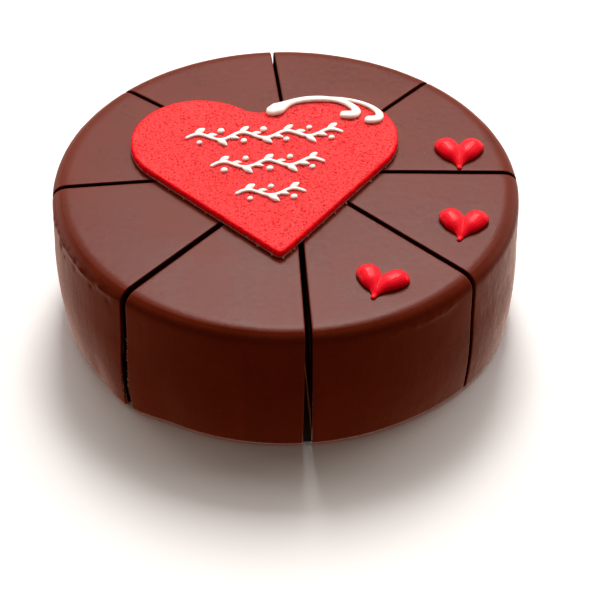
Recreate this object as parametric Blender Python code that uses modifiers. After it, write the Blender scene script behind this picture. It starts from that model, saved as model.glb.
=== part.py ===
"""A round chocolate torte, glazed all over and cut into eight slices that still stand together.

Each slice is a shell of glaze around a filling of nougat cream with two rounds of sponge in it.
On top lie a heart cut from a thin red biscuit, with white piping on it, and three small piped hearts.
Metres, +Z up. The origin is the middle of the underside.
"""

import bmesh
import bpy
from math import asin, atan2, cos, degrees, hypot, pi, radians, sin, sqrt, tau
from mathutils import Matrix, Vector

# The glazed cake
CAKE_RADIUS = 0.120
CAKE_HEIGHT = 0.077
RIM_ROUND = 0.0080
FOOT_ROUND = 0.0040
FOOT_TUCK = 0.0050
TUCK_HEIGHT = 0.046
GLAZE = 0.0022
AROUND = 32
GAP = 0.0003
SHARP_ANGLE = 35

# The knife cuts meet a little off the middle. Each row is the cut's direction in degrees, and how
# far it stands open on top where the cuts meet, on top at the rim, and at the foot of the rim.
CUTS_MEET = (0.0044, 0.0099)
KNIFE_CUTS = (
    (359.8, 0.0022, 0.0026, 0.0026),
    (48.0, 0.0017, 0.0021, 0.0024),
    (96.5, 0.0015, 0.0017, 0.0020),
    (141.9, 0.0018, 0.0021, 0.0024),
    (186.7, 0.0020, 0.0024, 0.0030),
    (229.6, 0.0024, 0.0034, 0.0042),
    (273.2, 0.0020, 0.0033, 0.0046),
    (316.3, 0.0024, 0.0025, 0.0019),
)
WEDGE_MARGIN = 0.006
WEDGE_REACH = CAKE_RADIUS * 1.8

# The two rounds of sponge, with cream above, below, between and around them
UPPER_TOP = 0.0722
UPPER_RADIUS = 0.1080
UPPER_FOOT = 0.0562
UPPER_CORNER = 0.0020
UPPER_SIDE_FOOT = 0.0040
UPPER_UNDERCUT = 0.0030
LOWER_TOP = 0.0540
LOWER_RADIUS = 0.1155
LOWER_FOOT = 0.0052
LOWER_FOOT_INSET = 0.0150
LOWER_FOOT_RISE = 0.0060
DROOP_START = 0.75
DROOP_START_DROP = 0.0008
LAYER_DROOP = 0.0050

# The biscuit heart
HEART_MIDDLE = (-0.0110, 0.0320)
HEART_TURN = 4.3
HEART_THICKNESS = 0.0042
HEART_EDGE = 0.0007
LOBE_RADIUS = 0.036
LOBE_OFFSET = 0.034
NOTCH_ROUND = 0.015
TIP_DEPTH = 0.0945
TIP_ROUND = 0.0025

# Piping: how high a bead's middle sits over its base in radii, and how flat it settles
BEAD_LIFT = 0.35
ROUND_END_ANGLES = (40, 75)
ICING_FLATTEN = 0.75
DROP_FLATTEN = 0.48
ICING_SIDES = 6
DROP_SIDES = 8
BASE_BLOCK = 0.4

# The scroll: a drop in the heart's notch as rows of x, y and bead radius, drawn out along the right
# lobe into an inner and an outer hook, as rows of direction from the lobe's middle in degrees,
# distance inside the lobe's edge, and bead radius
SCROLL_DROP = ((0.0030, 0.0220, 0.0022), (0.0068, 0.0234, 0.0033), (0.0112, 0.0260, 0.0025))
SCROLL_INNER = (
    (117, 0.0028, 0.0019),
    (100, 0.0036, 0.0018),
    (85, 0.0045, 0.0017),
    (70, 0.0064, 0.0016),
    (56, 0.0100, 0.0017),
    (47, 0.0142, 0.0021),
    (48, 0.0180, 0.0026),
    (62, 0.0188, 0.0027),
)
SCROLL_OUTER = (
    (98, 0.0020, 0.0011),
    (80, 0.0027, 0.0012),
    (60, 0.0034, 0.0012),
    (43, 0.0039, 0.0014),
    (30, 0.0047, 0.0018),
    (21, 0.0078, 0.0024),
    (22, 0.0116, 0.0027),
    (33, 0.0136, 0.0026),
)

# Wavy garlands across the heart: name, middle of the row in the heart's frame, waves
GARLANDS = (
    ("garland_upper", (0.000, 0.0020), 3.5),
    ("garland_middle", (0.000, -0.0220), 2.5),
    ("garland_lower", (0.000, -0.0460), 1.5),
)
STEM_RADIUS = 0.0011
WAVE_LENGTH = 0.0230
WAVE_HEIGHT = 0.0026
STEPS_PER_WAVE = 8
STEM_SWELL = 0.0005

# Small piped hearts: name, place of the notch on the cake, direction from tail to notch in
# degrees, size, and how far the left and the right lobe spread from that direction in degrees
SMALL_HEARTS = (
    ("small_heart_1", (0.0900, 0.0287), 88.0, 1.00, (30.0, 30.0)),
    ("small_heart_2", (0.0898, -0.0293), 81.5, 0.98, (31.0, 30.0)),
    ("small_heart_3", (0.0477, -0.0738), 76.0, 1.00, (31.0, 37.0)),
)
LOBES_JOIN = 0.0125
LOBE_REACH = 0.0130
LOBE_BEAD = 0.0064
TAIL_START = 0.0147
TAIL_LENGTH = 0.0190

# A lobe's beads as the share of the way out from where the lobes join and the share of the full
# bead, and the tail's two beads
LOBE_SHARES = ((1.0, 1.0), (0.62, 0.94), (0.26, 0.62))
TAIL_BEADS = (LOBE_BEAD * 0.30, LOBE_BEAD * 0.15)

FINISHES = {
    "glaze": ((0.115, 0.036, 0.024), 0.30, 0.0),
    "cream": ((0.38, 0.20, 0.10), 0.60, 0.0),
    "sponge": ((0.16, 0.045, 0.014), 0.90, 0.0),
    "biscuit": ((0.80, 0.045, 0.045), 0.75, 0.0),
    "white_icing": ((0.88, 0.80, 0.68), 0.35, 0.0),
    "red_icing": ((0.70, 0.008, 0.015), 0.30, 0.0),
}


# ---------------------------------------------------------------- scene and materials

def clear_scene():
    for item in list(bpy.data.objects):
        bpy.data.objects.remove(item, do_unlink=True)


def new_collection(name):
    collection = bpy.data.collections.new(name)
    bpy.context.scene.collection.children.link(collection)
    return collection


def new_material(name, finish):
    colour, roughness, metallic = FINISHES[finish]
    material = bpy.data.materials.new(name)
    material.use_nodes = True
    shader = material.node_tree.nodes["Principled BSDF"]
    shader.inputs["Base Color"].default_value = (*colour, 1.0)
    shader.inputs["Roughness"].default_value = roughness
    shader.inputs["Metallic"].default_value = metallic
    return material


def new_object(name, data, collection):
    item = bpy.data.objects.new(name, data)
    collection.objects.link(item)
    return item


def finish_part(item, finish):
    """Give a finished part its own material and smooth shading with sharp cut edges."""
    item.data.materials.clear()
    item.data.materials.append(new_material(item.name, finish))
    item.data.shade_smooth()
    item.data.set_sharp_from_angle(angle=radians(SHARP_ANGLE))


def make_cutter(item):
    item.hide_render = True
    item.display_type = "WIRE"


# ---------------------------------------------------------------- turned outlines (radius, height)

def wall_radius(height):
    """The wall stands upright above the tuck and draws in towards the foot below it."""
    below = max(0.0, 1.0 - height / TUCK_HEIGHT)
    return CAKE_RADIUS - FOOT_TUCK * below ** 2


def arc(centre, radius, start, end, steps):
    """Points of a circular arc between two angles in degrees, both ends included."""
    points = []
    for step in range(steps + 1):
        angle = radians(start + (end - start) * step / steps)
        points.append((centre[0] + radius * cos(angle), centre[1] + radius * sin(angle)))
    return points


def cake_outline(rim_steps, foot_steps):
    """The glazed cake from the middle of its top, down its wall, to the middle of its underside."""
    rim_centre = (CAKE_RADIUS - RIM_ROUND, CAKE_HEIGHT - RIM_ROUND)
    foot_centre = (wall_radius(FOOT_ROUND) - FOOT_ROUND, FOOT_ROUND)
    wall = [(wall_radius(TUCK_HEIGHT * part), TUCK_HEIGHT * part) for part in (1.0, 0.45)]
    rim = arc(rim_centre, RIM_ROUND, 90, 0, rim_steps)
    foot = arc(foot_centre, FOOT_ROUND, 0, -90, foot_steps)
    return [(0.0, CAKE_HEIGHT)] + rim + wall + foot + [(0.0, 0.0)]


def upper_sponge_outline():
    """The upper round is flat on top and droops with the cream at its outer edge."""
    droop = UPPER_FOOT - LAYER_DROOP
    return [
        (0.0, UPPER_TOP),
        (UPPER_RADIUS - UPPER_CORNER, UPPER_TOP - UPPER_CORNER),
        (UPPER_RADIUS, droop + UPPER_SIDE_FOOT),
        (UPPER_RADIUS - UPPER_UNDERCUT, droop),
        (UPPER_RADIUS * DROOP_START, UPPER_FOOT - DROOP_START_DROP),
        (0.0, UPPER_FOOT),
    ]


def lower_sponge_outline():
    """The lower round swells out to the glaze at mid height and is narrow at the bottom."""
    inset = LOWER_FOOT_INSET
    return [
        (0.0, LOWER_TOP),
        (UPPER_RADIUS * DROOP_START, LOWER_TOP - DROOP_START_DROP),
        (UPPER_RADIUS, LOWER_TOP - LAYER_DROOP * 1.2),
        (LOWER_RADIUS, LOWER_TOP * 0.70),
        (LOWER_RADIUS - inset * 0.07, LOWER_TOP * 0.48),
        (LOWER_RADIUS - inset * 0.80, LOWER_TOP * 0.30),
        (LOWER_RADIUS - inset, LOWER_FOOT + LOWER_FOOT_RISE),
        (0.0, LOWER_FOOT),
    ]


def grown(outline, distance):
    """An outline moved outwards by a distance, or inwards by a negative one.

    Ends on the axis move along it, so that the turned shape stays closed.
    """
    edges = []
    for (r1, z1), (r2, z2) in zip(outline, outline[1:]):
        length = hypot(r2 - r1, z2 - z1)
        edges.append((-(z2 - z1) / length, (r2 - r1) / length))
    moved = []
    for index, (r, z) in enumerate(outline):
        before = edges[max(index - 1, 0)]
        after = edges[min(index, len(edges) - 1)]
        nr, nz = before[0] + after[0], before[1] + after[1]
        scale = 2.0 * distance / (nr * nr + nz * nz)
        on_axis = index in (0, len(outline) - 1)
        moved.append((0.0 if on_axis else r + nr * scale, z + nz * scale))
    return moved


def profile_mesh(name, outline):
    mesh = bpy.data.meshes.new(name)
    shape = bmesh.new()
    corners = [shape.verts.new((r, 0.0, z)) for r, z in outline]
    for first, second in zip(corners, corners[1:]):
        shape.edges.new((first, second))
    shape.to_mesh(mesh)
    shape.free()
    return mesh


def turned(name, mesh, collection):
    """A solid turned from a profile with a Screw modifier."""
    item = new_object(name, mesh, collection)
    screw = item.modifiers.new("turn", "SCREW")
    screw.angle = tau
    screw.steps = AROUND
    screw.render_steps = AROUND
    screw.use_merge_vertices = True
    screw.merge_threshold = 0.00001
    return item


# ---------------------------------------------------------------- slices

def unit(angle):
    return Vector((cos(angle), sin(angle)))


def wedge_corners(first_cut, second_cut, height):
    """The three corners, at one height, of the space between two knife cuts."""
    share = height / CAKE_HEIGHT
    walls = []
    for cut, side in ((first_cut, 1.0), (second_cut, -1.0)):
        angle, hub_gap, rim_gap, foot_gap = cut
        gap = hub_gap + (foot_gap - rim_gap) * (1.0 - share)
        spread = asin((rim_gap - hub_gap) / (2.0 * CAKE_RADIUS))
        middle_line = unit(radians(angle))
        across = Vector((-middle_line.y, middle_line.x)) * side
        start = Vector(CUTS_MEET) + across * gap / 2.0
        walls.append((start, unit(radians(angle) + side * spread)))
    (start_a, along_a), (start_b, along_b) = walls
    between = start_b - start_a
    crossing = along_a.x * along_b.y - along_a.y * along_b.x
    reach = (between.x * along_b.y - between.y * along_b.x) / crossing
    apex = start_a + along_a * reach
    corners = (apex, apex + along_a * WEDGE_REACH, apex + along_b * WEDGE_REACH)
    return [(corner.x, corner.y, height) for corner in corners]


def wedge(name, first_cut, second_cut, collection):
    """A three-sided block from below the cake to above it, between two knife cuts."""
    lower = wedge_corners(first_cut, second_cut, -WEDGE_MARGIN)
    upper = wedge_corners(first_cut, second_cut, CAKE_HEIGHT + WEDGE_MARGIN)
    mesh = bpy.data.meshes.new(name)
    shape = bmesh.new()
    low = [shape.verts.new(corner) for corner in lower]
    high = [shape.verts.new(corner) for corner in upper]
    shape.faces.new(high)
    shape.faces.new(low[::-1])
    for index in range(3):
        after = (index + 1) % 3
        shape.faces.new((low[index], low[after], high[after], high[index]))
    shape.to_mesh(mesh)
    shape.free()
    item = new_object(name, mesh, collection)
    make_cutter(item)
    return item


def add_boolean(item, operation, other):
    boolean = item.modifiers.new(operation.lower() + "_" + other.name, "BOOLEAN")
    boolean.operation = operation
    boolean.solver = "EXACT"
    boolean.object = other


def build_slices(parts, cutters):
    """Every layer is turned once as a profile, hollowed by its neighbours and kept between two cuts."""
    cake = cake_outline(3, 2)
    filling = cake_outline(2, 1)
    upper = upper_sponge_outline()
    lower = lower_sponge_outline()
    hollows = {}
    for name, outline in (
        ("filling_space", grown(filling, -GLAZE)),
        ("upper_space", grown(upper, GAP)),
        ("lower_space", grown(lower, GAP)),
    ):
        hollows[name] = turned(name, profile_mesh(name, outline), cutters)
        make_cutter(hollows[name])
    layers = (
        ("glaze", cake, ("filling_space",), "glaze"),
        ("cream", grown(filling, -GLAZE - GAP), ("upper_space", "lower_space"), "cream"),
        ("sponge_upper", upper, (), "sponge"),
        ("sponge_lower", lower, (), "sponge"),
    )
    for number, first_cut in enumerate(KNIFE_CUTS, start=1):
        second_cut = KNIFE_CUTS[number % len(KNIFE_CUTS)]
        space = wedge(f"slice_{number}_space", first_cut, second_cut, cutters)
        for layer, outline, cut_by, finish in layers:
            name = f"slice_{number}_{layer}"
            item = turned(name, profile_mesh(name, outline), parts)
            for hollow in cut_by:
                add_boolean(item, "DIFFERENCE", hollows[hollow])
            add_boolean(item, "INTERSECT", space)
            finish_part(item, finish)


# ---------------------------------------------------------------- the biscuit heart

def heart_half():
    """The right half of a cookie cutter's heart, from the notch to the tip.

    The half is a hollow round at the notch, a round lobe, and a straight side tangent to the lobe.
    """
    notch_height = sqrt((LOBE_RADIUS + NOTCH_ROUND) ** 2 - LOBE_OFFSET ** 2)
    meet = degrees(atan2(notch_height, -LOBE_OFFSET))
    notch = arc((0.0, notch_height), NOTCH_ROUND, -90, meet - 180, 2)
    to_tip = hypot(LOBE_OFFSET, TIP_DEPTH)
    side = degrees(atan2(-TIP_DEPTH, -LOBE_OFFSET) + tau) - 360
    tangent = side + degrees(pi / 2 - asin(LOBE_RADIUS / to_tip))
    lobe = arc((LOBE_OFFSET, 0.0), LOBE_RADIUS, meet, tangent, 13)
    half_angle = radians(tangent + 90)
    tip_height = TIP_ROUND / sin(half_angle) - TIP_DEPTH
    tip = arc((0.0, tip_height), TIP_ROUND, tangent, -90, 1)
    return notch + lobe[1:] + tip


def heart_outline():
    right = heart_half()
    left = [(-x, y) for x, y in right[-2:0:-1]]
    return right + left


def heart_frame(height):
    """Places a shape drawn in the heart's own frame: middle of the two lobes, tip towards -Y."""
    return Matrix.Translation((*HEART_MIDDLE, height)) @ Matrix.Rotation(radians(HEART_TURN), 4, "Z")


def build_heart(parts):
    curve = bpy.data.curves.new("biscuit_heart", "CURVE")
    curve.dimensions = "2D"
    curve.fill_mode = "BOTH"
    curve.extrude = HEART_THICKNESS / 2 - HEART_EDGE
    curve.bevel_depth = HEART_EDGE
    curve.bevel_resolution = 0
    curve.offset = -HEART_EDGE
    outline = heart_outline()
    spline = curve.splines.new("POLY")
    spline.points.add(len(outline) - 1)
    for point, (x, y) in zip(spline.points, outline):
        point.co = (x, y, 0.0, 1.0)
    spline.use_cyclic_u = True
    item = new_object("biscuit_heart", curve, parts)
    item.matrix_world = heart_frame(CAKE_HEIGHT + GAP + HEART_THICKNESS / 2)
    curve.materials.append(new_material("biscuit_heart", "biscuit"))


# ---------------------------------------------------------------- piping

def smooth_path(points, per_span):
    """A smooth line through points of (x, y, bead radius), with rounded ends."""
    ends = [points[0]] + list(points) + [points[-1]]
    path = []
    for index in range(1, len(ends) - 2):
        p0, p1, p2, p3 = (Vector(ends[index + offset]) for offset in (-1, 0, 1, 2))
        for step in range(per_span):
            t = step / per_span
            path.append(0.5 * (2 * p1 + (p2 - p0) * t + (2 * p0 - 5 * p1 + 4 * p2 - p3) * t ** 2
                               + (3 * p1 - p0 - 3 * p2 + p3) * t ** 3))
    path.append(Vector(points[-1]))
    return round_end(round_end(path)[::-1])[::-1]


def round_end(path):
    """Carries the last bead on into a round end instead of a flat one."""
    last, before = path[-1], path[-2]
    heading = (last - before).xy.normalized()
    radius = last.z
    extra = []
    for angle in ROUND_END_ANGLES:
        place = last.xy + heading * radius * sin(radians(angle))
        extra.append(Vector((place.x, place.y, radius * cos(radians(angle)))))
    return path + extra


def bead_mesh(name, path, sides):
    """A tube whose radius follows the path's third value, as a closed mesh."""
    curve = bpy.data.curves.new(name, "CURVE")
    curve.dimensions = "3D"
    curve.bevel_depth = 1.0
    curve.bevel_resolution = (sides - 4) // 2
    curve.use_fill_caps = True
    spline = curve.splines.new("POLY")
    spline.points.add(len(path) - 1)
    for point, (x, y, radius) in zip(spline.points, path):
        point.co = (x, y, radius * BEAD_LIFT, 1.0)
        point.radius = radius
    guide = bpy.data.objects.new(name, curve)
    bpy.context.scene.collection.objects.link(guide)
    bpy.context.view_layer.update()
    evaluated = guide.evaluated_get(bpy.context.evaluated_depsgraph_get())
    mesh = bpy.data.meshes.new_from_object(evaluated)
    bpy.data.objects.remove(guide, do_unlink=True)
    shape = bmesh.new()
    shape.from_mesh(mesh)
    bmesh.ops.remove_doubles(shape, verts=shape.verts, dist=0.00001)
    bmesh.ops.recalc_face_normals(shape, faces=shape.faces)
    shape.to_mesh(mesh)
    shape.free()
    return mesh


def base_block(collection):
    """A block that keeps what lies above height zero, so that piping gets a flat base."""
    mesh = bpy.data.meshes.new("base_block")
    shape = bmesh.new()
    bmesh.ops.create_cube(shape, size=BASE_BLOCK)
    bmesh.ops.translate(shape, verts=shape.verts, vec=(0.0, 0.0, BASE_BLOCK / 2))
    shape.to_mesh(mesh)
    shape.free()
    item = new_object("base_block", mesh, collection)
    make_cutter(item)
    return item


def joined_mesh(name, meshes, block, guides):
    """The Boolean union of several beads, cut flat at height zero, as one mesh."""
    items = [new_object(f"{name}_bead_{index}", mesh, guides) for index, mesh in enumerate(meshes)]
    first = items[0]
    for other in items[1:]:
        add_boolean(first, "UNION", other)
    add_boolean(first, "INTERSECT", block)
    bpy.context.view_layer.update()
    evaluated = first.evaluated_get(bpy.context.evaluated_depsgraph_get())
    mesh = bpy.data.meshes.new_from_object(evaluated)
    for item in items:
        bpy.data.objects.remove(item, do_unlink=True)
    return mesh


def piped(name, strokes, sides, flatten, place, finish, parts, block):
    """Piped strokes joined into one piece, lying flat on what is under them."""
    meshes = [bead_mesh(f"{name}_{index}", path, sides) for index, path in enumerate(strokes)]
    mesh = joined_mesh(name, meshes, block, parts)
    mesh.transform(Matrix.Diagonal((1.0, 1.0, flatten, 1.0)))
    item = new_object(name, mesh, parts)
    item.matrix_world = place
    finish_part(item, finish)


def along_lobe(angle, inset, radius):
    """A bead that follows the right lobe's edge, in the heart's frame."""
    reach = LOBE_RADIUS - inset
    return (LOBE_OFFSET + reach * cos(radians(angle)), reach * sin(radians(angle)), radius)


def build_scroll(parts, block):
    """A drop in the heart's notch drawn out along the right lobe into two hooks."""
    inner = list(SCROLL_DROP) + [along_lobe(*bead) for bead in SCROLL_INNER]
    outer = [along_lobe(*bead) for bead in SCROLL_OUTER]
    strokes = [smooth_path(inner, 2), smooth_path(outer, 2)]
    place = heart_frame(CAKE_HEIGHT + HEART_THICKNESS + 2 * GAP)
    piped("scroll", strokes, ICING_SIDES, ICING_FLATTEN, place, "white_icing", parts, block)


def garland_path(middle, waves):
    """A wavy stem that swells a little at every crest and hollow."""
    length = waves * WAVE_LENGTH
    steps = round(waves * STEPS_PER_WAVE)
    stem = []
    for step in range(steps + 1):
        height = sin(step / steps * waves * tau)
        x = middle[0] - length / 2 + length * step / steps
        stem.append(Vector((x, middle[1] + WAVE_HEIGHT * height, STEM_RADIUS + STEM_SWELL * height ** 4)))
    return round_end(round_end(stem)[::-1])[::-1]


def build_garlands(parts, block):
    place = heart_frame(CAKE_HEIGHT + HEART_THICKNESS + 2 * GAP)
    for name, middle, waves in GARLANDS:
        strokes = [garland_path(middle, waves)]
        piped(name, strokes, ICING_SIDES, ICING_FLATTEN, place, "white_icing", parts, block)


def lobe_stroke(spread, side, size, has_tail):
    """One fat drop of a small heart, drawn from its round head down to where the lobes join.

    The right lobe's stroke runs on into the tail, and the left one's ends inside it.
    """
    join = Vector((0.0, -LOBES_JOIN))
    head = join + unit(radians(90 - side * spread)) * LOBE_REACH
    points = []
    for share, width in LOBE_SHARES:
        place = join.lerp(head, share)
        points.append((place.x, place.y, LOBE_BEAD * width))
    if has_tail:
        points.append((0.0, -TAIL_START, TAIL_BEADS[0]))
        points.append((0.0, -TAIL_LENGTH, TAIL_BEADS[1]))
    return smooth_path([Vector(point) * size for point in points], 2)


def build_small_hearts(parts, block):
    for name, middle, turn, size, spreads in SMALL_HEARTS:
        left, right = spreads
        strokes = [lobe_stroke(right, 1.0, size, True), lobe_stroke(left, -1.0, size, False)]
        place = Matrix.Translation((*middle, CAKE_HEIGHT + GAP))
        place = place @ Matrix.Rotation(radians(turn - 90), 4, "Z")
        piped(name, strokes, DROP_SIDES, DROP_FLATTEN, place, "red_icing", parts, block)


clear_scene()
torte = new_collection("chocolate_torte")
shaping = new_collection("cutters")
build_slices(torte, shaping)
build_heart(torte)
flat_base = base_block(shaping)
build_scroll(torte, flat_base)
build_garlands(torte, flat_base)
build_small_hearts(torte, flat_base)
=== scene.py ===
"""A round chocolate torte under a set glaze, cut into eight slices that still stand together.

The glaze, the biscuit heart, the piping and the small hearts are made here in full detail and stand
for the plainer solids of the frame. The cream and the sponge that show in the knife cuts keep the
frame's shape. Metres, +Z up, with the origin in the middle of the cake's underside.
"""

import random
from math import asin, atan2, cos, degrees, exp, hypot, pi, radians, sin, sqrt, tau

import bmesh
import bpy
from mathutils import Matrix, Vector, noise
from mathutils.geometry import delaunay_2d_cdt
from mathutils.kdtree import KDTree


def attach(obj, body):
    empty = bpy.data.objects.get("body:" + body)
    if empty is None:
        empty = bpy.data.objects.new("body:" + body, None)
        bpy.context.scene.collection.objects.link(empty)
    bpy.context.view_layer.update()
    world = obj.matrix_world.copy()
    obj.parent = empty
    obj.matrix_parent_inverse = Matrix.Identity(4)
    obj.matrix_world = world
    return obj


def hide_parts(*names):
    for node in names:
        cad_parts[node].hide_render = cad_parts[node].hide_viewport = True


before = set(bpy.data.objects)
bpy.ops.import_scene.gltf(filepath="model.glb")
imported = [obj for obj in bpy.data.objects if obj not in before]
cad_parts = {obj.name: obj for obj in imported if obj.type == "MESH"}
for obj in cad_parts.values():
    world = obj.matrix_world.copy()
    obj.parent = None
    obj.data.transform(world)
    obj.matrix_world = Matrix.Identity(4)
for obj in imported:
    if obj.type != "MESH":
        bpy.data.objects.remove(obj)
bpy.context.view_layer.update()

# ---------------------------------------------------------------- sizes

CAKE_RADIUS = 0.120
CAKE_HEIGHT = 0.077
RIM_ROUND = 0.0080
RIM_REACH = 0.0100
RIM_FULLNESS = 2.5
FOOT_ROUND = 0.0040
FOOT_TUCK = 0.0050
TUCK_HEIGHT = 0.046
GLAZE = 0.0022
GAP = 0.0003

# The knife cuts meet a little off the middle. Each row is the cut's direction in degrees, and how
# far it stands open on top where the cuts meet, on top at the rim, and at the foot of the rim.
CUTS_MEET = (0.0044, 0.0099)
KNIFE_CUTS = (
    (359.8, 0.0022, 0.0026, 0.0026),
    (48.0, 0.0017, 0.0021, 0.0024),
    (96.5, 0.0015, 0.0017, 0.0020),
    (141.9, 0.0018, 0.0021, 0.0024),
    (186.7, 0.0020, 0.0024, 0.0030),
    (229.6, 0.0024, 0.0034, 0.0042),
    (273.2, 0.0020, 0.0033, 0.0046),
    (316.3, 0.0024, 0.0025, 0.0019),
)

# The glaze's skin: rows from the hub over the rim to the underside, and columns across a slice
TOP_ROWS = 46
RIM_ROWS = 22
WALL_ROWS = 44
FOOT_ROWS = 5
BASE_ROWS = 6
SKIN_COLUMNS = 60
CUT_ROUND = 0.0006
CUT_ROUND_STEPS = 4

# The biscuit heart
HEART_MIDDLE = (-0.0110, 0.0320)
HEART_TURN = 4.3
HEART_THICKNESS = 0.0042
HEART_EDGE = 0.0008
LOBE_RADIUS = 0.036
LOBE_OFFSET = 0.034
NOTCH_ROUND = 0.015
TIP_DEPTH = 0.0945
TIP_ROUND = 0.0036
TIP_LEAN = 0.0018
LOBE_DROP = 0.0013
CRUMB_SPACING = 0.00040
PORE_SPACING = 0.00128
SIDE_ROWS = 8
CUT_CRUMBS = 60

# Piping
BEAD_LIFT = 0.35
ICING_SETTLE = (0.85, 112.0)
DROP_SETTLE = (0.60, 0.0)

# Strokes as points of (x, y, bead radius) on the heart
SCROLL_INNER = (
    (0.0058, 0.0217, 0.0036),
    (0.0084, 0.0232, 0.0042),
    (0.0116, 0.0258, 0.0030),
    (0.0150, 0.0281, 0.0022),
    (0.0190, 0.0298, 0.0020),
    (0.0250, 0.0309, 0.0020),
    (0.0322, 0.0309, 0.0019),
    (0.0391, 0.0294, 0.0017),
    (0.0446, 0.0262, 0.0017),
    (0.0481, 0.0222, 0.0020),
    (0.0494, 0.0182, 0.0024),
    (0.0474, 0.0157, 0.0027),
    (0.0430, 0.0160, 0.0026),
)
SCROLL_OUTER = (
    (0.0340, 0.0318, 0.0010),
    (0.0427, 0.0302, 0.0011),
    (0.0506, 0.0272, 0.0012),
    (0.0565, 0.0230, 0.0014),
    (0.0604, 0.0180, 0.0017),
    (0.0612, 0.0137, 0.0022),
    (0.0591, 0.0109, 0.0026),
    (0.0555, 0.0108, 0.0026),
)

GARLANDS = (
    ("garland_upper", (0.000, 0.0020), 3.5),
    ("garland_middle", (0.000, -0.0220), 2.5),
    ("garland_lower", (0.000, -0.0460), 1.5),
)
STEM_RADIUS = 0.0011
WAVE_LENGTH = 0.0230
WAVE_HEIGHT = 0.0026

SMALL_HEARTS = (
    ("small_heart_1", (0.0899, 0.0306), 88.5, 1.02, (31.0, 31.0), 0.0),
    ("small_heart_2", (0.0901, -0.0282), 82.5, 1.00, (32.0, 31.0), -0.00004),
    ("small_heart_3", (0.0479, -0.0732), 76.0, 1.01, (32.5, 38.0), -0.00003),
)
LOBES_JOIN = 0.0125
LOBE_REACH = 0.0130
# Each lobe's bead from its round head to the tail's end: how far aside as a share of the head's, how
# far below the notch, and the bead's radius
LOBE_BEADS = (
    (1.0, None, 0.0060),
    (0.52, -0.0066, 0.0055),
    (0.16, -0.0108, 0.0037),
    (0.03, -0.0138, 0.0025),
    (0.0, -0.0162, 0.0015),
    (0.0, -0.0176, 0.0013),
)


# ---------------------------------------------------------------- finishes

class Signal:
    """A socket of a finish, with the arithmetic that the finishes are written in."""

    def __init__(self, finish, socket):
        self.finish = finish
        self.socket = socket

    def maths(self, operation, first, second):
        return self.finish.node("ShaderNodeMath", {"operation": operation}, {0: first, 1: second})

    def __add__(self, other):
        return self.maths("ADD", self, other)

    def __radd__(self, other):
        return self.maths("ADD", other, self)

    def __sub__(self, other):
        return self.maths("SUBTRACT", self, other)

    def __rsub__(self, other):
        return self.maths("SUBTRACT", other, self)

    def __mul__(self, other):
        return self.maths("MULTIPLY", self, other)

    def __rmul__(self, other):
        return self.maths("MULTIPLY", other, self)

    def between(self, low, high):
        """A soft step from 0 below low to 1 above high."""
        settings = {"interpolation_type": "SMOOTHSTEP"}
        return self.finish.node("ShaderNodeMapRange", settings, {"Value": self, "From Min": low, "From Max": high})


class Nodes:
    """A node tree that is written as expressions."""

    def __init__(self, tree):
        self.tree = tree

    def feed(self, socket, value):
        if isinstance(value, Signal):
            self.tree.links.new(value.socket, socket)
        else:
            socket.default_value = value

    def node(self, kind, settings, inputs, output=0):
        made = self.tree.nodes.new(kind)
        for key, value in settings.items():
            if key == "stops":
                set_stops(made.color_ramp, value)
            else:
                setattr(made, key, value)
        for key, value in inputs.items():
            self.feed(made.inputs[key], value)
        return Signal(self, made.outputs[output])

    def axis(self, vector, name):
        return self.node("ShaderNodeSeparateXYZ", {}, {"Vector": vector}, name)

    def mix(self, first, second, share):
        settings = {"data_type": "RGBA", "clamp_factor": True}
        return self.node("ShaderNodeMix", settings, {0: share, 6: first, 7: second}, 2)


class Finish(Nodes):
    """A material built around one Principled shader."""

    def __init__(self, name, roughness, **constants):
        self.material = bpy.data.materials.new(name)
        self.material.use_nodes = True
        super().__init__(self.material.node_tree)
        self.shader = self.tree.nodes["Principled BSDF"]
        self.shader.inputs["Roughness"].default_value = roughness
        for socket, value in constants.items():
            self.shader.inputs[socket.replace("_", " ")].default_value = value
        self.place = self.node("ShaderNodeTexCoord", {}, {}, "Object")

    def noise(self, size, detail=2.0, roughness=0.5, stretch=None):
        """Soft noise from 0 to 1 whose features are about size metres wide."""
        place = self.place
        if stretch:
            place = self.node("ShaderNodeVectorMath", {"operation": "MULTIPLY"}, {0: place, 1: stretch})
        inputs = {"Vector": place, "Scale": 1.0 / size, "Detail": detail, "Roughness": roughness}
        return self.node("ShaderNodeTexNoise", {}, inputs)

    def cells(self, size, output="Distance"):
        """Scattered cell middles about size metres apart: the distance from them or a random colour."""
        return self.node("ShaderNodeTexVoronoi", {}, {"Vector": self.place, "Scale": 1.0 / size}, output)

    def red_of(self, colour):
        return self.node("ShaderNodeSeparateColor", {}, {"Color": colour}, "Red")

    def height(self):
        return self.axis(self.place, "Z")

    def marked(self, name):
        """A value from 0 to 1 that the mesh carries."""
        return self.node("ShaderNodeAttribute", {"attribute_name": name}, {}, "Fac")

    def bump(self, height, distance, strength=1.0):
        self.normal = self.node(
            "ShaderNodeBump", {}, {"Height": height, "Distance": distance, "Strength": strength}
        )
        self.feed(self.shader.inputs["Normal"], self.normal)

    def surface(self, socket, value):
        self.feed(self.shader.inputs[socket], value)


def set_stops(ramp, stops):
    while len(ramp.elements) < len(stops):
        ramp.elements.new(0.5)
    for element, (position, colour) in zip(ramp.elements, stops):
        element.position = position
        element.color = colour


def colour(red, green, blue):
    return (red, green, blue, 1.0)


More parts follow.
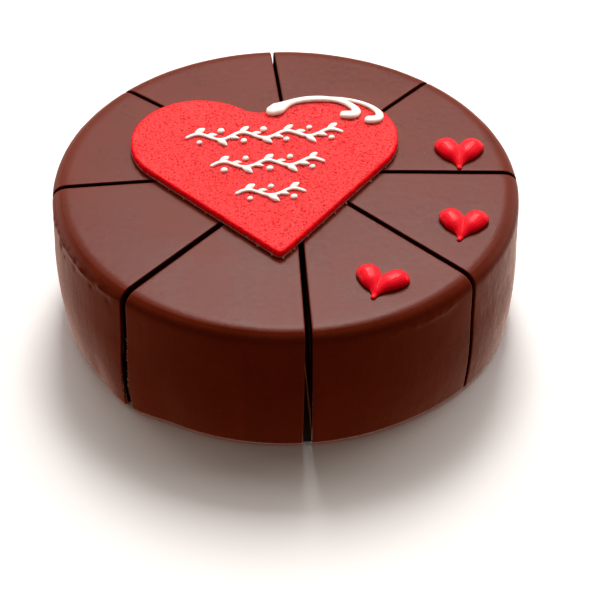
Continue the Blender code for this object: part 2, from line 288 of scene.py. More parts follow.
def glaze_finish():
    """Set chocolate glaze: dark red brown, faintly clouded, with a soft gloss and a few specks; its cut faces are
    matte and painted near black as shade.
    """
    warm = colour(1.0, 0.92, 0.88)
    finish = Finish("set_chocolate_glaze", 0.34, Specular_IOR_Level=0.07, Specular_Tint=warm)
    clouds = finish.noise(0.030, 3.0)
    mottle = finish.noise(0.0035, 3.0, 0.6)
    runs = finish.noise(0.0060, 3.0, 0.5, (1.0, 1.0, 0.15))
    strokes = finish.noise(0.0050, 3.0, 0.6, (0.25, 1.0, 0.45))
    on_wall = 1.0 - finish.height().between(CAKE_HEIGHT - RIM_ROUND, CAKE_HEIGHT - 0.3 * RIM_ROUND)
    on_right = on_wall * finish.axis(finish.place, "X").between(0.080, 0.110)
    tone = (clouds * 0.65 + mottle * 0.35).between(0.30, 0.70)
    base = finish.mix(colour(0.098, 0.0098, 0.0018), colour(0.122, 0.0136, 0.0032), tone)
    speck_shape = 1.0 - finish.cells(0.0045).between(0.030, 0.060)
    speck_choice = finish.red_of(finish.cells(0.0045, "Color")).between(0.86, 0.88)
    specks = speck_shape * speck_choice
    base = finish.mix(base, colour(0.40, 0.22, 0.16), specks * 0.7)
    cut_face = finish.marked("cut")
    # Painted shade: the cut faces are painted near black, as the knife cuts lie in shade; the added roughness below
    # makes them matte.
    finish.surface("Base Color", finish.mix(base, colour(0.022, 0.0014, 0.0005), cut_face))
    gloss = 0.17 + 0.14 * clouds + 0.10 * mottle + 0.10 * (runs - 0.5) * on_wall
    gloss = gloss + 0.30 * (strokes - 0.5) * on_right
    finish.surface("Roughness", gloss + 0.55 * cut_face)
    ripple = finish.noise(0.0040, 2.0)
    grain = finish.noise(0.0007, 2.0)
    finish.bump(ripple * 0.30 + grain * 0.16 - specks * 0.8 + runs * on_wall * 0.7 + strokes * on_right * 1.6, 0.00025)
    return finish.material


def biscuit_finish():
    """Red biscuit: dull, porous and dusty on top with painted shade in its pores, deep red at the side, pale at its
    crumbly foot with a painted highlight along the lower edge.
    """
    glow = {"Subsurface_Weight": 1.0, "Subsurface_Radius": (1.0, 0.06, 0.06), "Subsurface_Scale": 0.005}
    finish = Finish("red_biscuit", 0.85, Specular_IOR_Level=0.05, **glow)
    grain = finish.noise(0.0011, 3.0, 0.7)
    blotches = finish.noise(0.0050, 3.0)
    rise = finish.height() - (CAKE_HEIGHT + GAP)
    dust = blotches * 0.3 + grain.between(0.38, 0.62) * 0.7
    dusty = finish.mix(colour(0.76, 0.036, 0.042), colour(0.93, 0.086, 0.084), dust)
    # Painted shade: the pores are painted a dark red, as they lie in shade.
    dusty = finish.mix(dusty, colour(0.42, 0.006, 0.014), finish.marked("pore").between(0.05, 0.80) * 0.86)
    deep = finish.mix(colour(0.58, 0.0004, 0.003), colour(0.98, 0.005, 0.014), grain.between(0.38, 0.56))
    worn = (finish.marked("worn") + (grain - 0.5) * 1.8).between(0.35, 0.65)
    dusty = finish.mix(dusty, deep, worn)
    base = finish.mix(deep, dusty, (rise + (grain - 0.5) * 0.0010).between(0.0034, 0.0039))
    # The pale pink band at the foot is partly crumbly edge and partly a painted highlight where the lower edge catches
    # light.
    crumbled = 1.0 - (rise + (grain - 0.5) * 0.0020).between(0.00045, 0.00080)
    base = finish.mix(base, colour(1.0, 0.34, 0.34), crumbled * 0.85)
    finish.surface("Base Color", base)
    finish.bump(grain, 0.00060)
    return finish.material


def crumb_finish(name, dark, pale):
    """Dry crumbs, each a little paler or darker than the next."""
    finish = Finish(name, 0.9, Specular_IOR_Level=0.1)
    finish.surface("Base Color", finish.mix(dark, pale, finish.noise(0.0012, 2.0).between(0.35, 0.65)))
    finish.bump(finish.noise(0.0003, 2.0), 0.0001)
    return finish.material


def white_icing_finish():
    """Piped white icing, faintly cream coloured."""
    glow = {"Subsurface_Weight": 0.5, "Subsurface_Radius": (1.0, 0.85, 0.70), "Subsurface_Scale": 0.002}
    finish = Finish("white_piping", 0.36, Specular_IOR_Level=0.3, **glow)
    drift = finish.noise(0.0040, 2.0)
    finish.surface("Base Color", finish.mix(colour(0.93, 0.88, 0.77), colour(0.95, 0.92, 0.86), drift))
    finish.bump(finish.noise(0.0012, 2.0), 0.0001)
    return finish.material


def red_icing_finish():
    """Red piped chocolate with a satin gloss."""
    glow = {"Subsurface_Weight": 0.25, "Subsurface_Radius": (1.0, 0.10, 0.10), "Subsurface_Scale": 0.0015}
    finish = Finish("red_piping", 0.30, Specular_IOR_Level=0.09, Specular_Tint=colour(1.0, 0.62, 0.64), **glow)
    drift = finish.noise(0.0030, 3.0)
    finish.surface("Base Color", finish.mix(colour(0.76, 0.0026, 0.012), colour(0.88, 0.0052, 0.020), drift))
    finish.surface("Roughness", 0.20 + 0.10 * drift)
    finish.bump(finish.noise(0.0008, 2.0), 0.0001)
    return finish.material


def painted_slit_shade(finish):
    """Painted shade on the cut faces: near black close under the top and at the rim, with a ragged inner edge."""
    ragged = finish.noise(0.0050, 3.0, 0.6, (1.0, 1.0, 0.35)) * 0.006
    flat = finish.node("ShaderNodeVectorMath", {"operation": "MULTIPLY"}, {0: finish.place, 1: (1.0, 1.0, 0.0)})
    outward = finish.node("ShaderNodeVectorMath", {"operation": "LENGTH"}, {0: flat}, "Value")
    at_rim = (outward + ragged).between(CAKE_RADIUS - 0.013, CAKE_RADIUS - 0.008)
    on_top = (finish.height() + ragged).between(CAKE_HEIGHT - 0.009, CAKE_HEIGHT - 0.005)
    return 1.0 - (1.0 - at_rim) * (1.0 - on_top)


def cream_finish():
    """Light brown nougat cream, smeared by the knife, with painted shade near the top and the rim of its cut faces."""
    finish = Finish("nougat_cream", 0.6, Specular_IOR_Level=0.0)
    smear = finish.noise(0.0030, 3.0)
    base = finish.mix(colour(0.34, 0.17, 0.085), colour(0.46, 0.25, 0.135), smear)
    # Painted shade: near black on the cut faces close under the top and at the rim.
    finish.surface("Base Color", finish.mix(base, colour(0.014, 0.002, 0.001), painted_slit_shade(finish)))
    finish.bump(smear, 0.0004)
    return finish.material


def sponge_finish():
    """Dark chocolate sponge with an open crumb, with painted shade in its holes and near the top and the rim of its
    cut faces.
    """
    finish = Finish("chocolate_sponge", 0.92, Specular_IOR_Level=0.0)
    crumb = finish.noise(0.0016, 4.0, 0.65)
    holes = 1.0 - finish.cells(0.0028).between(0.16, 0.34)
    base = finish.mix(colour(0.085, 0.022, 0.008), colour(0.21, 0.070, 0.026), crumb)
    # Painted shade: the holes of the crumb are painted near black.
    base = finish.mix(base, colour(0.030, 0.007, 0.003), holes)
    # Painted shade: near black on the cut faces close under the top and at the rim.
    finish.surface("Base Color", finish.mix(base, colour(0.014, 0.002, 0.001), painted_slit_shade(finish)))
    finish.bump(crumb - holes * 0.8, 0.0009)
    return finish.material


def floor_finish():
    """A plain pale surface with painted shade: a near black disc where the cake stands on it."""
    finish = Finish("pale_floor", 0.7)
    pale = finish.mix(colour(0.86, 0.86, 0.86), colour(0.88, 0.88, 0.88), finish.noise(0.4))
    reach = finish.node("ShaderNodeVectorMath", {"operation": "LENGTH"}, {"Vector": finish.place}, "Value")
    # Painted shade: a near black disc under the cake, seen through the knife cuts.
    under = 1.0 - reach.between(0.1105, 0.1125)
    finish.surface("Base Color", finish.mix(pale, colour(0.02, 0.008, 0.005), under))
    return finish.material


# ---------------------------------------------------------------- meshes

def mesh_piece(name, mesh, finish, slot, *nodes):
    """Adds a finished piece of the cake that stands for one or more solids of the frame."""
    mesh.materials.clear()
    mesh.materials.append(finish)
    mesh.shade_smooth()
    piece = bpy.data.objects.new(name, mesh)
    bpy.context.scene.collection.objects.link(piece)
    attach(piece, "root")
    if nodes:
        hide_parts(*nodes)
    return piece


def mesh_of(name, corners, faces):
    """A mesh without doubled corners or empty faces, all facing outwards."""
    shape = bmesh.new()
    verts = [shape.verts.new(corner) for corner in corners]
    for face in faces:
        shape.faces.new([verts[index] for index in face])
    bmesh.ops.remove_doubles(shape, verts=shape.verts, dist=0.000002)
    bmesh.ops.dissolve_degenerate(shape, edges=shape.edges, dist=0.000001)
    bmesh.ops.recalc_face_normals(shape, faces=shape.faces)
    mesh = bpy.data.meshes.new(name)
    shape.to_mesh(mesh)
    shape.free()
    return mesh


def mark(mesh, name, shares):
    """Stores a value from 0 to 1 for every corner of a mesh."""
    layer = mesh.attributes.new(name, "FLOAT", "POINT")
    layer.data.foreach_set("value", shares)


def soft_noise(x, y, z, size, seed=0.0):
    return noise.noise(Vector((x / size + seed, y / size - seed, z / size + 2 * seed)))


# ---------------------------------------------------------------- the glaze

def unit(angle):
    return Vector((cos(angle), sin(angle)))


def cut_walls(first_cut, second_cut, height):
    """Where two knife cuts meet at one height, and the directions of the slice's two cut walls."""
    share = height / CAKE_HEIGHT
    walls = []
    for cut, side in ((first_cut, 1.0), (second_cut, -1.0)):
        angle, hub_gap, rim_gap, foot_gap = cut
        gap = hub_gap + (foot_gap - rim_gap) * (1.0 - share)
        spread = asin((rim_gap - hub_gap) / (2.0 * CAKE_RADIUS))
        middle_line = unit(radians(angle))
        across = Vector((-middle_line.y, middle_line.x)) * side
        walls.append((Vector(CUTS_MEET) + across * gap / 2.0, radians(angle) + side * spread))
    (start_a, angle_a), (start_b, angle_b) = walls
    along_a, along_b = unit(angle_a), unit(angle_b)
    between = start_b - start_a
    crossing = along_a.x * along_b.y - along_a.y * along_b.x
    reach = (between.x * along_b.y - between.y * along_b.x) / crossing
    if angle_b < angle_a:
        angle_b += tau
    return start_a + along_a * reach, angle_a, angle_b


def wall_radius(height):
    below = max(0.0, 1.0 - height / TUCK_HEIGHT)
    return CAKE_RADIUS - FOOT_TUCK * below ** 2


def side_stations():
    """Radius, height and outward slope from the edge of the flat top down to the flat underside."""
    stations = []
    for step in range(RIM_ROWS + 1):
        angle = radians(90 * step / RIM_ROWS)
        across, up = sin(angle) ** (2 / RIM_FULLNESS), cos(angle) ** (2 / RIM_FULLNESS)
        outward, upward = across ** (RIM_FULLNESS - 1) / RIM_REACH, up ** (RIM_FULLNESS - 1) / RIM_ROUND
        length = hypot(outward, upward)
        stations.append((
            CAKE_RADIUS - RIM_REACH * (1.0 - across),
            CAKE_HEIGHT - RIM_ROUND * (1.0 - up),
            outward / length,
            upward / length,
        ))
    top, foot = CAKE_HEIGHT - RIM_ROUND, FOOT_ROUND
    for step in range(1, WALL_ROWS):
        height = top + (foot - top) * step / WALL_ROWS
        below = max(0.0, 1.0 - height / TUCK_HEIGHT)
        lean = -2.0 * FOOT_TUCK * below / TUCK_HEIGHT
        length = hypot(1.0, lean)
        stations.append((wall_radius(height), height, 1.0 / length, lean / length))
    middle = wall_radius(foot) - FOOT_ROUND
    for step in range(FOOT_ROWS + 1):
        angle = radians(-90 * step / FOOT_ROWS)
        stations.append((middle + FOOT_ROUND * cos(angle), foot + FOOT_ROUND * sin(angle), cos(angle), sin(angle)))
    return stations


# Dents in the glaze just under the rim: direction in degrees, height, width, depth
RIM_DENTS = (
    (191.0, 0.0670, 0.0026, 0.00045),
    (199.0, 0.0668, 0.0034, 0.00095),
    (202.0, 0.0645, 0.0022, 0.00060),
    (208.5, 0.0672, 0.0028, 0.00050),
    (216.5, 0.0676, 0.0022, 0.00070),
    (223.0, 0.0672, 0.0028, 0.00045),
)

# Where glaze piled up in an uneven ridge under the rim: from and to, in degrees, and how high up
RIM_RIDGES = ((186.0, 229.2, 0.0716), (293.0, 316.0, 0.0690))


def rim_ridge(x, y, z, around):
    """How far the uneven ridge stands out from the wall at a point."""
    out = 0.0
    for start, end, height in RIM_RIDGES:
        if start < around < end:
            fade = min(1.0, (around - start) / 6.0, (end - around) / 4.0)
            level = height + 0.0010 * soft_noise(x, y, 0.0, 0.0090, 31.0)
            lumps = 0.5 + 0.9 * soft_noise(x, y, z, 0.0036, 37.0)
            out += 0.00100 * fade * max(lumps, 0.0) * exp(-((z - level) / 0.0017) ** 2)
    return out


# Where a slice's foot stands out further than the rest: direction in degrees, width, how far
FOOT_SPREADS = ((227.5, 13.0, 0.0032), (340.0, 42.0, 0.0030))


def foot_spread(angle, height):
    below = max(0.0, 1.0 - height / TUCK_HEIGHT)
    spread = 0.0
    for middle, width, reach in FOOT_SPREADS:
        aside = abs(degrees(angle) % 360 - middle) / width
        if aside < 1.0:
            spread += reach * (1.0 - aside ** 2) ** 2 * below
    return spread


def skin_offset(x, y, z, outward):
    """How far the poured glaze lies in from its true outline, as it settled."""
    waves = 0.00012 * (soft_noise(x, y, z, 0.034) - 1.0)
    if outward < 0.4:
        return waves
    ripples = 0.00010 * (soft_noise(x, y, z, 0.011, 3.0) - 1.0)
    slow = 0.00022 * (soft_noise(x, y, z * 0.6, 0.045, 7.0) - 1.0)
    dents = 0.0
    around = degrees(atan2(y, x)) % 360
    for angle, height, width, depth in RIM_DENTS:
        aside = radians(around - angle) * CAKE_RADIUS
        distance = hypot(aside, z - height) / width
        if distance < 1.0:
            dents -= depth * (1.0 - distance ** 2) ** 2
    return waves + outward * (ripples + slow + dents + rim_ridge(x, y, z, around))


def row_angles(apex, angle_a, angle_b, reach):
    """The directions of one row's columns, crowded at both cuts, and how deep each one lies there."""
    half = (angle_b - angle_a) / 2.0
    columns = []
    for step in range(CUT_ROUND_STEPS + 1):
        turn = radians(90 * step / CUT_ROUND_STEPS)
        aside = CUT_ROUND * (1.0 - cos(turn))
        columns.append((aside, CUT_ROUND * (1.0 - sin(turn))))
    columns.append((CUT_ROUND * 2.2, 0.0))
    limit = half * 0.5

    def turned(aside, distance):
        share = aside / max(distance, 0.00001)
        most = aside / (CUT_ROUND * 2.2) * limit
        return min(asin(min(share, 1.0)), most)

    left = [(angle_a + turned(aside, reach(angle_a)), depth) for aside, depth in columns]
    right = [(angle_b - turned(aside, reach(angle_b)), depth) for aside, depth in columns]
    first, last = left[-1][0], right[-1][0]
    middle = [(first + (last - first) * step / SKIN_COLUMNS, 0.0) for step in range(1, SKIN_COLUMNS)]
    return left + middle + right[::-1]


def circle_reach(apex, radius):
    """How far it is from the apex to a circle around the cake's axis, in any direction."""
    def reach(angle):
        along = unit(angle)
        aside = apex.dot(along)
        return -aside + sqrt(aside * aside - apex.dot(apex) + radius * radius)
    return reach


def skin_row(first_cut, second_cut, radius, height, share, outward, upward, is_hub):
    """One row of the glaze's outer skin and of its inner face."""
    apex, angle_a, angle_b = cut_walls(first_cut, second_cut, height)
    to_circle = circle_reach(apex, radius)

    def reach(angle):
        return share * to_circle(angle)

    outer, inner = [], []
    for angle, depth in row_angles(apex, angle_a, angle_b, reach):
        place = apex + unit(angle) * reach(angle)
        place += place * foot_spread(atan2(place.y, place.x), height) / CAKE_RADIUS
        heading = place.normalized() if outward else Vector((0.0, 0.0))
        deep = CUT_ROUND if is_hub else depth
        lift = skin_offset(place.x, place.y, height, outward) - deep
        skin = Vector((heading.x * outward, heading.y * outward, upward))
        spot = Vector((place.x, place.y, height))
        outer.append(spot + skin * lift)
        inner.append(spot - skin * GLAZE)
    return outer, inner


def glaze_mesh(name, first_cut, second_cut):
    """A slice's shell of glaze: its skin with softened cut edges, its inner face and its cut faces."""
    stations = side_stations()
    rows = []
    top_radius = CAKE_RADIUS - RIM_REACH
    for step in range(TOP_ROWS):
        share = (step / TOP_ROWS) ** 0.9
        rows.append((top_radius, CAKE_HEIGHT, share, 0.0, 1.0, step == 0))
    for radius, height, outward, upward in stations:
        rows.append((radius, height, 1.0, outward, upward, False))
    base_radius = stations[-1][0]
    for step in range(1, BASE_ROWS + 1):
        share = 1.0 - step / BASE_ROWS
        rows.append((base_radius, 0.0, share, 0.0, -1.0, step == BASE_ROWS))
    corners, faces = [], []
    count = 0
    for row in rows:
        outer, inner = skin_row(first_cut, second_cut, *row)
        count = len(outer)
        corners.extend(outer)
        corners.extend(inner)

    def index(row, column, inside):
        return row * 2 * count + (count if inside else 0) + column

    for row in range(len(rows) - 1):
        for column in range(count - 1):
            a, b = index(row, column, False), index(row, column + 1, False)
            c, d = index(row + 1, column + 1, False), index(row + 1, column, False)
            faces.append((a, b, c, d))
            faces.append((d + count, c + count, b + count, a + count))
        for column in (0, count - 1):
            a, b = index(row, column, False), index(row + 1, column, False)
            faces.append((a, b, b + count, a + count) if column == 0 else (b, a, a + count, b + count))
    mesh = mesh_of(name, corners, faces)
    mark(mesh, "cut", [cut_share(vertex.co, first_cut, second_cut) for vertex in mesh.vertices])
    return mesh


def cut_share(place, first_cut, second_cut):
    """1 on the cut faces of a slice, 0 away from them."""
    apex, angle_a, angle_b = cut_walls(first_cut, second_cut, place.z)
    reach = place.xy - apex
    aside = min(abs(reach.cross(unit(angle_a))), abs(reach.cross(unit(angle_b))))
    return 1.0 if aside < CUT_ROUND * 0.1 else 0.0


def pour_glaze():
    finish = glaze_finish()
    for number, first_cut in enumerate(KNIFE_CUTS, start=1):
        second_cut = KNIFE_CUTS[number % len(KNIFE_CUTS)]
        mesh = glaze_mesh(f"glaze_{number}", first_cut, second_cut)
        mesh_piece(f"glaze_{number}", mesh, finish, "glaze", f"slice_{number}_glaze")


# ---------------------------------------------------------------- cream and sponge

def finish_fillings():
    finishes = {"cream": cream_finish(), "sponge_upper": sponge_finish()}
    finishes["sponge_lower"] = finishes["sponge_upper"]
    for number in range(1, len(KNIFE_CUTS) + 1):
        for layer, finish in finishes.items():
            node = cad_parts[f"slice_{number}_{layer}"]
            for material_slot in node.material_slots:
                material_slot.material = finish


# ---------------------------------------------------------------- the biscuit heart

def arc(centre, radius, start, end, steps):
    points = []
    for step in range(steps + 1):
        angle = radians(start + (end - start) * step / steps)
        points.append(Vector((centre[0] + radius * cos(angle), centre[1] + radius * sin(angle))))
    return points


def heart_outline():
    """The cookie cutter's outline: a rounded notch, two round lobes and straight sides to the tip."""
    notch_height = sqrt((LOBE_RADIUS + NOTCH_ROUND) ** 2 - LOBE_OFFSET ** 2)
    meet = degrees(atan2(notch_height, -LOBE_OFFSET))
    notch = arc((0.0, notch_height), NOTCH_ROUND, -90, meet - 180, 8)
    to_tip = hypot(LOBE_OFFSET, TIP_DEPTH)
    side = degrees(atan2(-TIP_DEPTH, -LOBE_OFFSET) + tau) - 360
    tangent = side + degrees(pi / 2 - asin(LOBE_RADIUS / to_tip))
    lobe = arc((LOBE_OFFSET, 0.0), LOBE_RADIUS, meet, tangent, 60)
    half_angle = radians(tangent + 90)
    tip_height = TIP_ROUND / sin(half_angle) - TIP_DEPTH
    tip = arc((0.0, tip_height), TIP_ROUND, tangent, -90, 4)
    right = notch + lobe[1:] + tip
    left = [Vector((-point.x, point.y)) for point in right[-2:0:-1]]
    return [hand_cut(point) for point in right + left]


def hand_cut(point):
    """The heart came out of its cutter a little uneven: its tip leans and its right lobe is flatter."""
    towards_tip = max(0.0, (-point.y - 0.050) / (TIP_DEPTH - 0.050))
    behind = max(0.0, point.y - 0.012) / (LOBE_RADIUS - 0.012) if point.x > 0.0 else 0.0
    across = min(1.0, max(0.0, point.x / 0.018))
    return point + Vector((TIP_LEAN * towards_tip ** 1.5, -LOBE_DROP * behind * across))


def spaced_evenly(loop, spacing):
    """Points at even steps round a closed loop."""
    lengths = [(after - point).length for point, after in zip(loop, loop[1:] + loop[:1])]
    steps = round(sum(lengths) / spacing)
    step = sum(lengths) / steps
    points, walked, edge = [], 0.0, 0
    for number in range(steps):
        target = number * step
        while walked + lengths[edge] < target:
            walked += lengths[edge]
            edge += 1
        start, end = loop[edge], loop[(edge + 1) % len(loop)]
        points.append(start.lerp(end, (target - walked) / lengths[edge]))
    return points


def outward_normals(loop):
    normals = []
    for index in range(len(loop)):
        along = (loop[(index + 1) % len(loop)] - loop[index - 1]).normalized()
        normals.append(Vector((-along.y, along.x)))
    return normals


def heart_frame(height):
    return Matrix.Translation((*HEART_MIDDLE, height)) @ Matrix.Rotation(radians(HEART_TURN), 4, "Z")


def inside_loop(loop, point):
    inside = False
    for a, b in zip(loop, loop[1:] + loop[:1]):
        if (a.y > point.y) != (b.y > point.y):
            if point.x < a.x + (point.y - a.y) / (b.y - a.y) * (b.x - a.x):
                inside = not inside
    return inside


def pore_share(x, y):
    """How open the biscuit's top is at a point: 0 on the flat, 1 at the bottom of a pore."""
    rough = soft_noise(x, y, 0.0, 0.0014, 19.0) + 0.5 * soft_noise(x, y, 0.0, 0.0007, 23.0)
    pitted = min(1.0, max(0.0, (rough - 0.26) / 0.34))
    warp = 0.0005 * soft_noise(x, y, 0.0, 0.0013, 3.0)
    distances, middles = noise.voronoi(Vector((x + warp, y - warp, 0.0)) / PORE_SPACING)
    size = 0.36 + 0.15 * noise.cell(middles[0] * 7.3)
    pore = max(0.0, 1.0 - (distances[0] / size) ** 2) if size > 0.20 else 0.0
    return max(pore, pitted * 0.8)


def pore_depth(x, y):
    return pore_share(x, y) * 0.00042 + 0.00008 * soft_noise(x, y, 0.0, 0.0011, 5.0)


def heart_mesh():
    """A biscuit with an even porous top, an uneven cut side and a flat underside."""
    loop = spaced_evenly(heart_outline(), CRUMB_SPACING)
    normals = outward_normals(loop)
    top = HEART_THICKNESS
    stations = [(HEART_EDGE, top)]
    for angle in (60, 30, 0):
        turn = radians(angle)
        stations.append((HEART_EDGE * (1 - cos(turn)), top - HEART_EDGE * (1 - sin(turn))))
    for step in range(1, SIDE_ROWS):
        stations.append((0.0, (top - HEART_EDGE) * (1 - step / SIDE_ROWS)))
    stations.append((0.0002, 0.0002))
    stations.append((0.0006, 0.0))
    corners = []
    for row, (inset, height) in enumerate(stations):
        for point, normal in zip(loop, normals):
            wear = 0.0 if row == len(stations) - 1 else crumble(point, height)
            place = point - normal * (inset + wear)
            corners.append(Vector((place.x, place.y, height)))
    count = len(loop)
    faces = []
    for row in range(len(stations) - 1):
        for column in range(count):
            after = (column + 1) % count
            a, b = row * count + column, row * count + after
            faces.append((a, b, b + count, a + count))
    rim = [corner.xy for corner in corners[:count]]
    inner = [point - normal * CRUMB_SPACING * 1.6 for point, normal in zip(rim, normals)]
    flat = rim + heart_top_points(inner)
    edges = [(index, (index + 1) % count) for index in range(count)]
    verts, _, cells, _, _, _ = delaunay_2d_cdt(flat, edges, [], 1, 0.0000001, False)
    first = len(corners)
    for index, point in enumerate(verts):
        dip = 0.0 if index < count else pore_depth(point.x, point.y)
        corners.append(Vector((point.x, point.y, top - dip)))
    for cell in cells:
        if min(cell) < count and max(cell) < count:
            middle = sum((verts[index] for index in cell), Vector((0.0, 0.0))) / len(cell)
            if not inside_loop(rim, middle):
                continue
        faces.append(tuple(first + index for index in cell))
    base_start = (len(stations) - 1) * count
    faces.append(tuple(range(base_start + count - 1, base_start - 1, -1)))
    mesh = mesh_of("red_biscuit_heart", corners, faces)
    border = KDTree(count)
    for index, point in enumerate(loop):
        border.insert((point.x, point.y, 0.0), index)
    border.balance()
    pores, wear = [], []
    for vertex in mesh.vertices:
        on_top = vertex.co.z > top - 0.0008
        inset = border.find((vertex.co.x, vertex.co.y, 0.0))[2]
        pores.append(pore_share(vertex.co.x, vertex.co.y) if on_top and inset > HEART_EDGE else 0.0)
        wear.append(max(0.0, 1.0 - inset / 0.0030) if on_top else 0.0)
    mark(mesh, "pore", pores)
    mark(mesh, "worn", wear)
    return mesh


def crumble(point, height):
    """How far the cut side of the biscuit is worn in at a point."""
    coarse = 0.00028 * (1.0 + soft_noise(point.x, point.y, height, 0.0034, 11.0))
    fine = 0.00034 * (1.0 + soft_noise(point.x, point.y, height, 0.0011, 13.0))
    return coarse + fine


def heart_top_points(border):
    """A jittered grid of points inside the biscuit's top."""
    scatter = random.Random(41)
    rows = {}
    points = []
    low_y, high_y = min(p.y for p in border), max(p.y for p in border)
    y = low_y + CRUMB_SPACING
    while y < high_y:
        crossings = []
        for a, b in zip(border, border[1:] + border[:1]):
            if (a.y > y) != (b.y > y):
                crossings.append(a.x + (y - a.y) / (b.y - a.y) * (b.x - a.x))
        crossings.sort()
        for start, end in zip(crossings[::2], crossings[1::2]):
            x = start + CRUMB_SPACING * scatter.uniform(0.2, 0.8)
            while x < end:
                aside = Vector((scatter.uniform(-0.2, 0.2), scatter.uniform(-0.2, 0.2))) * CRUMB_SPACING
                points.append(Vector((x, y)) + aside)
                x += CRUMB_SPACING
        y += CRUMB_SPACING
    return points


def bake_heart():
    mesh = heart_mesh()
    mesh.transform(heart_frame(CAKE_HEIGHT + GAP * 0.3))
    mesh_piece("red_biscuit_heart", mesh, biscuit_finish(), "biscuit", "biscuit_heart")


# ---------------------------------------------------------------- crumbs

def crumbs(name, places, hand):
    """Small dry lumps, no two alike, at the given places."""
    shape = bmesh.new()
    for place, size in places:
        turn = Matrix.Rotation(hand.uniform(0.0, tau), 4, "Z") @ Matrix.Rotation(hand.uniform(0.0, tau), 4, "X")
        lump = bmesh.ops.create_icosphere(shape, subdivisions=2, radius=size, matrix=Matrix.Translation(place) @ turn)
        seed = hand.uniform(0.0, 50.0)
        for vertex in lump["verts"]:
            away = vertex.co - place
            swell = 1.0 + 0.9 * soft_noise(away.x, away.y, away.z, size * 0.9, seed)
            vertex.co = place + Vector((away.x, away.y, away.z * 0.8)) * swell
    mesh = bpy.data.meshes.new(name)
    shape.to_mesh(mesh)
    shape.free()
    return mesh


def scatter_biscuit_crumbs():
    """Crumbs that broke from the heart's foot, most of them along its two straight sides."""
    hand = random.Random(23)
    loop = spaced_evenly(heart_outline(), CRUMB_SPACING)
    normals = outward_normals(loop)
    places = []
    for point, normal in zip(loop, normals):
        chance = 0.01
        if normal.y < -0.2:
            chance = 0.06 if normal.x > 0.0 else 0.02
        if hand.random() < chance:
            spot = point + normal * hand.uniform(-0.0004, 0.0002)
            size = hand.uniform(0.00016, 0.00042)
            places.append((heart_frame(CAKE_HEIGHT) @ Vector((spot.x, spot.y, size * 0.8)), size))
    finish = crumb_finish("pale_biscuit_crumbs", colour(0.95, 0.20, 0.20), colour(0.98, 0.66, 0.64))
    mesh_piece("biscuit_crumbs", crumbs("biscuit_crumbs", places, hand), finish, "biscuit")


def scatter_cut_crumbs():
    """Crumbs that the knife left on both edges of one cut."""
    hand = random.Random(29)
    places = []
    before, cut, after = KNIFE_CUTS[4:7]
    for number in range(CUT_CRUMBS):
        on_left = number % 5 < 2
        height = hand.uniform(0.006, 0.026) if on_left else hand.uniform(0.012, 0.050)
        apex, angle_a, angle_b = cut_walls(before, cut, height) if on_left else cut_walls(cut, after, height)
        angle = angle_b if on_left else angle_a
        edge = apex + unit(angle) * circle_reach(apex, wall_radius(height))(angle)
        edge += edge * foot_spread(atan2(edge.y, edge.x), height) / CAKE_RADIUS
        spot = edge * (1.0 - hand.uniform(0.0002, 0.0009) / CAKE_RADIUS)
        places.append((Vector((spot.x, spot.y, height)), hand.uniform(0.00016, 0.00040)))
    finish = crumb_finish("brown_crumbs", colour(0.16, 0.060, 0.030), colour(0.46, 0.27, 0.17))
    mesh_piece("cut_crumbs", crumbs("cut_crumbs", places, hand), finish, "sponge")


# ---------------------------------------------------------------- piping

def smooth_path(points, per_span):
    """A smooth line through points of (x, y, bead radius)."""
    ends = [points[0]] + list(points) + [points[-1]]
    path = []
    for index in range(1, len(ends) - 2):
        p0, p1, p2, p3 = (Vector(ends[index + offset]) for offset in (-1, 0, 1, 2))
        for step in range(per_span):
            t = step / per_span
            path.append(0.5 * (2 * p1 + (p2 - p0) * t + (2 * p0 - 5 * p1 + 4 * p2 - p3) * t ** 2
                               + (3 * p1 - p0 - 3 * p2 + p3) * t ** 3))
    path.append(Vector(points[-1]))
    return path


def round_end(path):
    """Carries the last bead on into a round end."""
    last, before = path[-1], path[-2]
    heading = (last - before).xy.normalized()
    extra = []
    for angle in (20, 40, 58, 72, 83):
        place = last.xy + heading * last.z * sin(radians(angle))
        extra.append(Vector((place.x, place.y, last.z * cos(radians(angle)))))
    return path + extra


def bead(shape, path, sides=20):
    """Adds a closed tube along a path of (x, y, radius) to a mesh in the making."""
    path = round_end(round_end(path)[::-1])[::-1]
    rings = []
    for index, point in enumerate(path):
        before, after = path[max(index - 1, 0)], path[min(index + 1, len(path) - 1)]
        along = (after - before).xy.normalized()
        across = Vector((-along.y, along.x, 0.0))
        middle = Vector((point.x, point.y, point.z * BEAD_LIFT))
        ring = []
        for side in range(sides):
            turn = tau * side / sides
            offset = across * cos(turn) + Vector((0.0, 0.0, sin(turn)))
            ring.append(shape.verts.new(middle + offset * point.z))
        rings.append(ring)
    for first, second in zip(rings, rings[1:]):
        for side in range(sides):
            after = (side + 1) % sides
            shape.faces.new((first[side], first[after], second[after], second[side]))
    shape.faces.new(rings[0][::-1])
    shape.faces.new(rings[-1])


